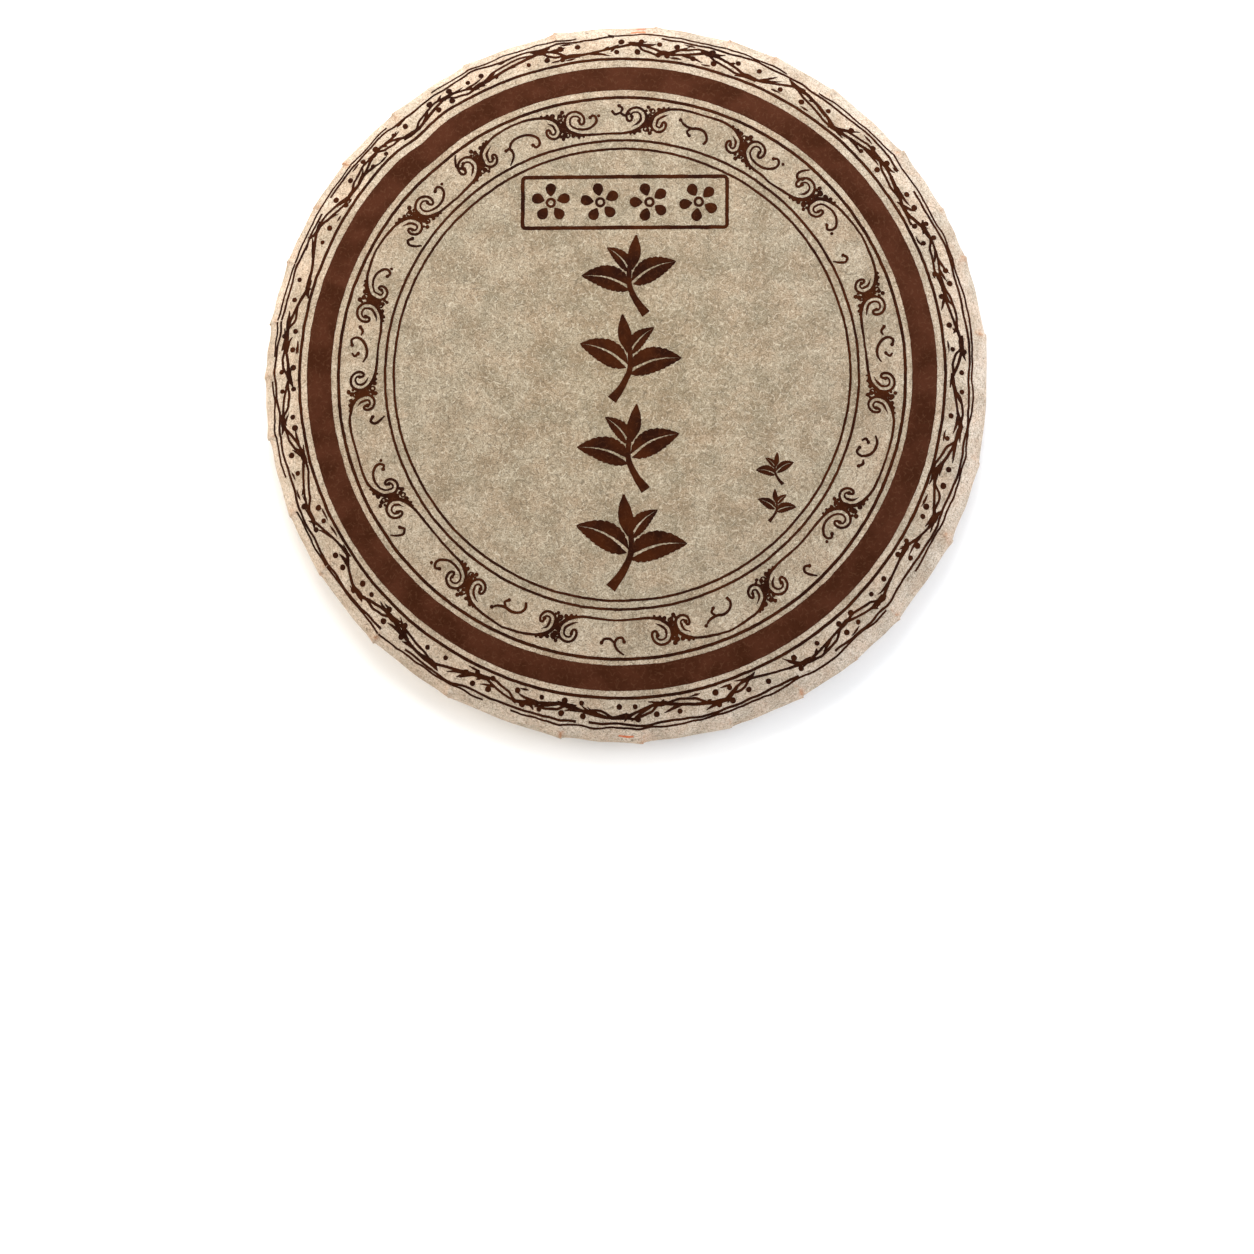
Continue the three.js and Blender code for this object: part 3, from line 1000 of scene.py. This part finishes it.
def leaf(length, width, bend, rib):
    # Two half blades on either side of a bare midrib, with toothed edges; it starts at the
    # origin and lies along +X
    along = np.linspace(0, 1, 40)
    spine = np.stack([along * length, bend * np.sin(along * math.pi)], axis=-1)
    blade = width / 2 * np.sin(along ** 0.8 * math.pi) ** 0.8
    teeth = 1 + 0.06 * np.sin(along * 62)
    halves = []
    for side, fullness in ((1, 1.0), (-1, 0.88)):
        inner = rib / 2 * (1 - along)
        outer = np.maximum(blade * teeth * fullness, inner + 0.004)
        middle = spine + np.stack([0 * along, side * (inner + outer) / 2], axis=-1)
        halves.append(np.column_stack([middle, outer - inner]))
    return halves


def sprig():
    # A twig with two leaves and a bud, about one unit wide, round the origin
    twig = [(-0.12, -0.43, 0.1), (-0.03, -0.28, 0.07), (0.03, -0.1, 0.055), (0.01, 0.1, 0.05)]
    bud = [(0.0, 0.06, 0.04), (-0.04, 0.19, 0.13), (-0.07, 0.31, 0.11), (-0.09, 0.43, 0.015)]
    # each leaf's length, width, bend and rib, then where it starts and its direction in degrees
    leaves = [((0.54, 0.27, 0.05, 0.03), 0.02, -0.14, 20), ((0.52, 0.26, -0.05, 0.03), 0.0, -0.08, 159),
              ((0.36, 0.16, 0.03, 0.024), 0.01, 0.04, 52)]
    lines = [smoothStroke(twig, 0.03), smoothStroke(bud, 0.03)]
    for shape, x, y, degrees in leaves:
        lines += placed(leaf(*shape), x, y, 1, degrees)
    return lines


def rosette():
    # Five round petals about an open ring, one unit across
    lines = [ringMark(0, 0, 0.2, 0.07)]
    petal = [(0.17, 0, 0.03), (0.26, 0, 0.2), (0.38, 0, 0.27), (0.47, 0, 0.17), (0.5, 0, 0.03)]
    for k in range(5):
        lines += placed([smoothStroke(petal, 0.03)], 0, 0, 1, 90 + 72 * k)
    return lines


def frameLine(box):
    # A rectangle with rounded corners, as one closed stroke
    x, y = box["middle"]
    across, up = box["size"][0] / 2 - box["corner"], box["size"][1] / 2 - box["corner"]
    outline = []
    for sideX, sideY, start in ((1, 1, 0), (-1, 1, 90), (-1, -1, 180), (1, -1, 270)):
        for turn in (0, 30, 60, 90):
            at = math.radians(start + turn)
            outline.append((x + sideX * across + box["corner"] * math.cos(at),
                            y + sideY * up + box["corner"] * math.sin(at), box["line"]))
    outline.append(outline[0])
    sides = [smoothStroke(pair) for pair in zip(outline[:-1], outline[1:])]
    return np.vstack([sides[0]] + [side[1:] for side in sides[1:]])


def makeMiddle(paper, ink):
    box, row = middlePrint["frame"], middlePrint["rosettes"]
    middleX, middleY = box["middle"]
    drawn = [frameLine(box)]
    for k in range(row["count"]):
        x = middleX + (k - (row["count"] - 1) / 2) * row["gap"]
        drawn += placed(rosette(), x, middleY, row["across"], row["turn"] * k)
    for k, (x, y, size, lean) in enumerate(middlePrint["sprigs"] + middlePrint["smallSprigs"]):
        drawn += placed(sprig(), x, y, size, lean, 1 if k % 2 else -1)
    finishPrint(ribbons(drawn), paper, ink, "print_middle")


def makeRedMark(paper, ink):
    drawn = [smoothStroke(stroke) for stroke in redMark["strokes"]]
    finishPrint(ribbons(drawn), paper, ink, "print_red_mark")


# Materials

def toLinear(hexColour):
    # An sRGB colour such as #a59985, as the linear values that Blender takes
    shares = [int(hexColour[k:k + 2], 16) / 255 for k in (1, 3, 5)]
    return [share / 12.92 if share <= 0.04045 else ((share + 0.055) / 1.055) ** 2.4
            for share in shares] + [1.0]


def pick(sockets, name):
    return next(socket for socket in sockets if socket.enabled and name in (socket.name, socket.identifier))


def addNode(tree, kind, settings, links=None):
    # Settings in small letters are the node's own, the others its inputs; links name inputs too,
    # and each comes from a node's first output, or from a named one as (node, name)
    node = tree.nodes.new("ShaderNode" + kind)
    for name, value in settings.items():
        if name[0].islower():
            setattr(node, name, value)
        else:
            pick(node.inputs, name).default_value = toLinear(value) if isinstance(value, str) else value
    for name, source in (links or {}).items():
        if isinstance(source, tuple):
            output = pick(source[0].outputs, source[1])
        else:
            output = next(socket for socket in source.outputs if socket.enabled)
        tree.links.new(output, pick(node.inputs, name))
    return node


def newMaterial(name):
    material = bpy.data.materials.new(name)
    material.use_nodes = True
    tree = material.node_tree
    return material, tree, tree.nodes["Principled BSDF"]


# Handmade cotton paper, felted from long fibres: matte and cloudy, with curly fibres in it.
# The fibres are drawn about twice as thick as real ones, so that they show.
paperFinish = {
    # base colour from the middle of the face out: radius in millimetres, colour. The lighter stops towards
    # the rim are painted light, the glow of the lamps and the white surround on the margin
    "face": [(0, "#9f927b"), (66, "#a59985"), (84, "#b4a591"), (92, "#bfb09d"), (98, "#cdbdaa"),
             (101, "#d7c8b7"), (104, "#dfd0bf")],
    "back": "#d2c2ae",
    # above the floor: where the face's colours start to give way, and where only the back's is left
    "backHeights": (13.0, 7.0),
    # tints that multiply the base: millimetres across, strength, tint
    "clouds": (9.0, 0.7, "#d3d2cc"),
    "mottles": (3.4, 0.15, "#d5cfc4"),
    "rosy": (7.0, 0.4, "#f5dfd0"),
    "grain": (0.4, 0.8, "#b5aa9a"),
    # curly fibres, and the furrows between them, whose dark colour is painted shade: millimetres from one
    # to the next, half width in millimetres, strength, colour, how far they stand out beside the grain,
    # seed
    "fibresAndFurrowShade": [(1.7, 0.18, 0.27, "#efe4cd", 0.32, 3), (1.7, 0.18, 0.52, "#4f4536", -0.38, 1),
               (2.2, 0.18, 0.52, "#5a4f3f", -0.3, 2)],
    # a few dark specks of bark: millimetres across, strength, colour
    "specks": (1.3, 0.7, "#6a5b48"),
    # fine creases that run in from the rim: millimetres from one to the next, half width as a share
    # of the noise, how fast they change along their own way, and the radii between which they appear
    "wrinkles": (2.4, 0.05, 0.22, 97.5, 102.5),
    # painted light and shade along the folds, a tan where light comes through the folded paper and shade
    # falls in its crease: size of its patches in millimetres, strength, colour, and how much of it the
    # wrinkles take as well, as painted shade in them
    "foldLightAndShade": (2.6, 0.6, "#a86c3e", 0.25),
    "roughness": 0.9,
    "specular": 0.2,
    "bump": (0.5, 0.3),           # strength, and height in millimetres
}


def keepSome(tree, lines, where, size):
    # Leaves a pattern of lines only here and there, in patches of about `size` millimetres
    field = addNode(tree, "TexNoise", {"noise_dimensions": "2D", "Scale": 1 / (size * mm), "Detail": 0.0},
                    {"Vector": where})
    kept = addNode(tree, "MapRange", {"From Min": 0.49, "From Max": 0.56}, {"Value": field})
    return addNode(tree, "Math", {"operation": "MULTIPLY"}, {"Value": lines, "Value_001": kept})


def fibreLines(tree, where, gap, halfWidth, seed):
    # Felted fibres: the edges between flat cells, bent into curls by a noise
    moved = addNode(tree, "Mapping", {"Location": (seed * 0.31, seed * 0.17, 0)}, {"Vector": where})
    push = addNode(tree, "TexNoise", {"noise_dimensions": "2D", "Scale": 0.9 / (gap * mm), "Detail": 0.0},
                   {"Vector": moved})
    curled = addNode(tree, "VectorMath", {"operation": "MULTIPLY_ADD", "Vector_001": [0.9 * gap * mm] * 3},
                     {"Vector": (push, "Color"), "Vector_002": moved})
    cells = addNode(tree, "TexVoronoi", {"voronoi_dimensions": "2D", "feature": "DISTANCE_TO_EDGE",
                                         "Scale": 1 / (gap * mm)}, {"Vector": curled})
    lines = addNode(tree, "MapRange", {"From Max": halfWidth / gap, "To Min": 1.0, "To Max": 0.0},
                    {"Value": (cells, "Distance")})
    return keepSome(tree, lines, moved, 0.9 * gap)


def creaseLines(tree, where, gap, halfWidth):
    # Creases: thin lines where a noise crosses its middle value
    field = addNode(tree, "TexNoise", {"Scale": 1 / (gap * mm), "Detail": 1.0, "Distortion": 1.1},
                    {"Vector": where})
    away = addNode(tree, "Math", {"operation": "SUBTRACT", "Value_001": 0.5}, {"Value": field})
    near = addNode(tree, "Math", {"operation": "ABSOLUTE"}, {"Value": away})
    lines = addNode(tree, "MapRange", {"From Max": halfWidth, "To Min": 1.0, "To Max": 0.0},
                    {"Value": near})
    return keepSome(tree, lines, where, 1.4 * gap)


def makePaper():
    material, tree, shader = newMaterial("cotton_paper")
    cakeRadius, cakeHeight = wrapper["radius"] * mm, wrapper["height"] * mm
    where = (addNode(tree, "TexCoord", {}), "Object")
    flat = addNode(tree, "VectorMath", {"operation": "MULTIPLY", "Vector_001": (1, 1, 0)},
                   {"Vector": where})
    radius = addNode(tree, "VectorMath", {"operation": "LENGTH"}, {"Vector": flat})
    share = addNode(tree, "MapRange", {"From Max": cakeRadius}, {"Value": radius})
    # the paper's colour by radius, whose lighter margin is painted light from the lamps and the white
    # surround
    fromMiddle = addNode(tree, "ValToRGB", {}, {"Fac": share})
    stops = fromMiddle.color_ramp.elements
    for k, (at, tint) in enumerate(paperFinish["face"]):
        place = at / wrapper["radius"]
        stop = stops[k] if k < 2 else stops.new(place)
        stop.position = place
        stop.color = toLinear(tint)
    height = (addNode(tree, "SeparateXYZ", {}, {"Vector": where}), "Z")
    high, low = paperFinish["backHeights"]
    under = addNode(tree, "MapRange", {"From Min": high * mm, "From Max": low * mm}, {"Value": height})
    colour = addNode(tree, "Mix", {"data_type": "RGBA", "B": paperFinish["back"]},
                     {"Factor": under, "A": fromMiddle})

    # about where a point lay on the flat sheet, before it was folded down over the rim
    outwards = addNode(tree, "VectorMath", {"operation": "NORMALIZE"}, {"Vector": flat})
    drop = addNode(tree, "Math", {"operation": "SUBTRACT", "Value": cakeHeight}, {"Value_001": height})
    reach = addNode(tree, "Math", {"operation": "ADD"}, {"Value": (radius, "Value"), "Value_001": drop})
    sheet = addNode(tree, "VectorMath", {"operation": "SCALE"}, {"Vector": outwards, "Scale": reach})

    for name in ("clouds", "mottles", "rosy", "grain"):
        across, strength, tint = paperFinish[name]
        field = addNode(tree, "TexNoise", {"Scale": 1 / (across * mm), "Detail": 3.0, "Roughness": 0.6},
                        {"Vector": where})
        amount = addNode(tree, "MapRange", {"From Min": 0.6, "From Max": 0.36, "To Max": strength},
                         {"Value": field})
        colour = addNode(tree, "Mix", {"data_type": "RGBA", "blend_type": "MULTIPLY", "B": tint},
                         {"Factor": amount, "A": colour})
    relief = field  # of the grain
    # the light fibres stand out; the furrows sink, and their dark colour is painted shade in them
    for gap, halfWidth, strength, tint, rise, seed in paperFinish["fibresAndFurrowShade"]:
        lines = fibreLines(tree, sheet, gap, halfWidth, seed)
        amount = addNode(tree, "Math", {"operation": "MULTIPLY", "Value_001": strength}, {"Value": lines})
        colour = addNode(tree, "Mix", {"data_type": "RGBA", "B": tint}, {"Factor": amount, "A": colour})
        relief = addNode(tree, "Math", {"operation": "MULTIPLY_ADD", "Value_001": rise},
                         {"Value": lines, "Value_002": relief})

    across, strength, tint = paperFinish["specks"]
    field = addNode(tree, "TexNoise", {"Scale": 1 / (across * mm), "Detail": 0.0}, {"Vector": where})
    amount = addNode(tree, "MapRange", {"From Min": 0.79, "From Max": 0.85, "To Max": strength},
                     {"Value": field})
    colour = addNode(tree, "Mix", {"data_type": "RGBA", "B": tint}, {"Factor": amount, "A": colour})

    # creases across the margin: a noise round the rim's circle that changes little along them
    gap, halfWidth, change, inside, outside = paperFinish["wrinkles"]
    circle = addNode(tree, "VectorMath", {"operation": "SCALE", "Scale": cakeRadius}, {"Vector": outwards})
    along = addNode(tree, "Math", {"operation": "MULTIPLY", "Value_001": change}, {"Value": reach})
    along = addNode(tree, "CombineXYZ", {}, {"Z": along})
    unrolled = addNode(tree, "VectorMath", {"operation": "ADD"}, {"Vector": circle, "Vector_001": along})
    wrinkles = creaseLines(tree, unrolled, gap, halfWidth)
    onMargin = addNode(tree, "MapRange", {"From Min": inside * mm, "From Max": outside * mm},
                       {"Value": (radius, "Value")})
    wrinkles = addNode(tree, "Math", {"operation": "MULTIPLY"}, {"Value": wrinkles, "Value_001": onMargin})
    relief = addNode(tree, "Math", {"operation": "ADD"}, {"Value": relief, "Value_001": wrinkles})

    # painted light and shade in tan, in thin lines along the folds of the rim and in some of the wrinkles;
    # the mask called worn below holds this painted light and shade, not wear
    across, strength, tint, inWrinkles = paperFinish["foldLightAndShade"]
    alongFolds = (addNode(tree, "Attribute", {"attribute_name": "foldLightAndShade"}), "Fac")
    worn = addNode(tree, "Math", {"operation": "MULTIPLY_ADD", "Value_001": inWrinkles},
                   {"Value": wrinkles, "Value_002": alongFolds})
    field = addNode(tree, "TexNoise", {"Scale": 1 / (across * mm), "Detail": 2.0}, {"Vector": where})
    patches = addNode(tree, "MapRange", {"From Min": 0.42, "From Max": 0.62, "To Max": strength},
                      {"Value": field})
    amount = addNode(tree, "Math", {"operation": "MULTIPLY"}, {"Value": worn, "Value_001": patches})
    colour = addNode(tree, "Mix", {"data_type": "RGBA", "B": tint}, {"Factor": amount, "A": colour})

    strength, rise = paperFinish["bump"]
    bump = addNode(tree, "Bump", {"Strength": strength, "Distance": rise * mm}, {"Height": relief})
    tree.links.new(pick(colour.outputs, "Result"), shader.inputs["Base Color"])
    tree.links.new(bump.outputs["Normal"], shader.inputs["Normal"])
    shader.inputs["Roughness"].default_value = paperFinish["roughness"]
    shader.inputs["Specular IOR Level"].default_value = paperFinish["specular"]
    return material


# Block-printing ink, an oily brown that soaks into the paper: dull and uneven, with the paper's
# fibres showing through as lighter flecks. It lies thinner on the broad band than in the lines.
inkFinish = {
    "band": {"deep": "#34180a", "thin": "#422214", "fleck": "#5a3c2a"},
    "line": {"deep": "#210b03", "thin": "#351605", "fleck": "#4a2a17"},
    "red": {"deep": "#b2502e", "thin": "#c67a58", "fleck": "#d2a68c"},
    "patch": 8.0,                 # millimetres from a deep place to a thin one
    # the flecks: millimetres from one fibre to the next, half width, strength, seed
    "flecks": (1.4, 0.15, 0.4, 5),
    "grain": 0.75,                # millimetres across
    "roughness": (0.6, 0.8),
    "specular": 0.03,
    "bump": (0.4, 0.3),           # strength, and height in millimetres
}


def makeInk(name, tones):
    material, tree, shader = newMaterial(name)
    where = (addNode(tree, "TexCoord", {}), "Object")
    across = inkFinish["patch"] * mm
    field = addNode(tree, "TexNoise", {"Scale": 1 / across, "Detail": 4.0}, {"Vector": where})
    patches = addNode(tree, "MapRange", {"From Min": 0.38, "From Max": 0.62}, {"Value": field})
    colour = addNode(tree, "Mix", {"data_type": "RGBA", "A": tones["deep"], "B": tones["thin"]},
                     {"Factor": patches})
    gap, halfWidth, strength, seed = inkFinish["flecks"]
    lines = fibreLines(tree, where, gap, halfWidth, seed)
    amount = addNode(tree, "Math", {"operation": "MULTIPLY", "Value_001": strength}, {"Value": lines})
    colour = addNode(tree, "Mix", {"data_type": "RGBA", "B": tones["fleck"]},
                     {"Factor": amount, "A": colour})
    across = inkFinish["grain"] * mm
    grain = addNode(tree, "TexNoise", {"Scale": 1 / across, "Detail": 2.0}, {"Vector": where})
    low, high = inkFinish["roughness"]
    rough = addNode(tree, "MapRange", {"From Min": 0.3, "From Max": 0.7, "To Min": low, "To Max": high},
                    {"Value": grain})
    strength, rise = inkFinish["bump"]
    bump = addNode(tree, "Bump", {"Strength": strength, "Distance": rise * mm}, {"Height": grain})
    tree.links.new(pick(colour.outputs, "Result"), shader.inputs["Base Color"])
    tree.links.new(rough.outputs["Result"], shader.inputs["Roughness"])
    tree.links.new(bump.outputs["Normal"], shader.inputs["Normal"])
    shader.inputs["Specular IOR Level"].default_value = inkFinish["specular"]
    return material


# The studio: a white floor, a big soft light low over the top of the print, and a pale surround
studio = {
    "floorSize": 6.0,
    "floor": "#fdfdfc",
    "floorRoughness": 0.9,
    "surround": "#ffffff",
    "surroundStrength": 0.78,
    # place, diameter, watts and colour
    "lights": {
        "key_light": ((-0.03, 0.35, 0.42), 0.45, 2.8, "#ffffff"),
        "left_light": ((-0.95, 0.15, 0.6), 0.9, 6.4, "#fff1de"),
        "right_light": ((0.95, 0.05, 0.6), 0.9, 7.4, "#e4eeff"),
    },
}


def makeStudio():
    deselectAll()
    bpy.ops.mesh.primitive_plane_add(size=studio["floorSize"])
    floor = bpy.context.object
    floor.name = "studio_floor"
    material, _, shader = newMaterial("matte_floor")
    shader.inputs["Base Color"].default_value = toLinear(studio["floor"])
    shader.inputs["Roughness"].default_value = studio["floorRoughness"]
    floor.data.materials.append(material)
    for name, (place, diameter, watts, colour) in studio["lights"].items():
        bpy.ops.object.light_add(type="AREA", location=place)
        lamp = bpy.context.object
        lamp.name = name
        lamp.data.shape = "DISK"
        lamp.data.size = diameter
        lamp.data.energy = watts
        lamp.data.color = toLinear(colour)[:3]
        lamp.rotation_euler = (-lamp.location).to_track_quat("-Z", "Y").to_euler()
    world = bpy.data.worlds.new("surround")
    bpy.context.scene.world = world
    world.use_nodes = True
    background = world.node_tree.nodes["Background"]
    background.inputs["Color"].default_value = toLinear(studio["surround"])
    background.inputs["Strength"].default_value = studio["surroundStrength"]
    bpy.context.scene.view_settings.view_transform = "Standard"
    print("studio ready")


makeCamera()
makeStudio()
ink = makeInk("printing_ink", inkFinish["line"])
bandInk = makeInk("thin_printing_ink", inkFinish["band"])
paper = makeWrapper(makePaper())
makeRings(paper, ink, bandInk)
makeScroll(paper, ink)
makeVine(paper, ink)
makeMiddle(paper, ink)
makeRedMark(paper, makeInk("faded_red_ink", inkFinish["red"]))
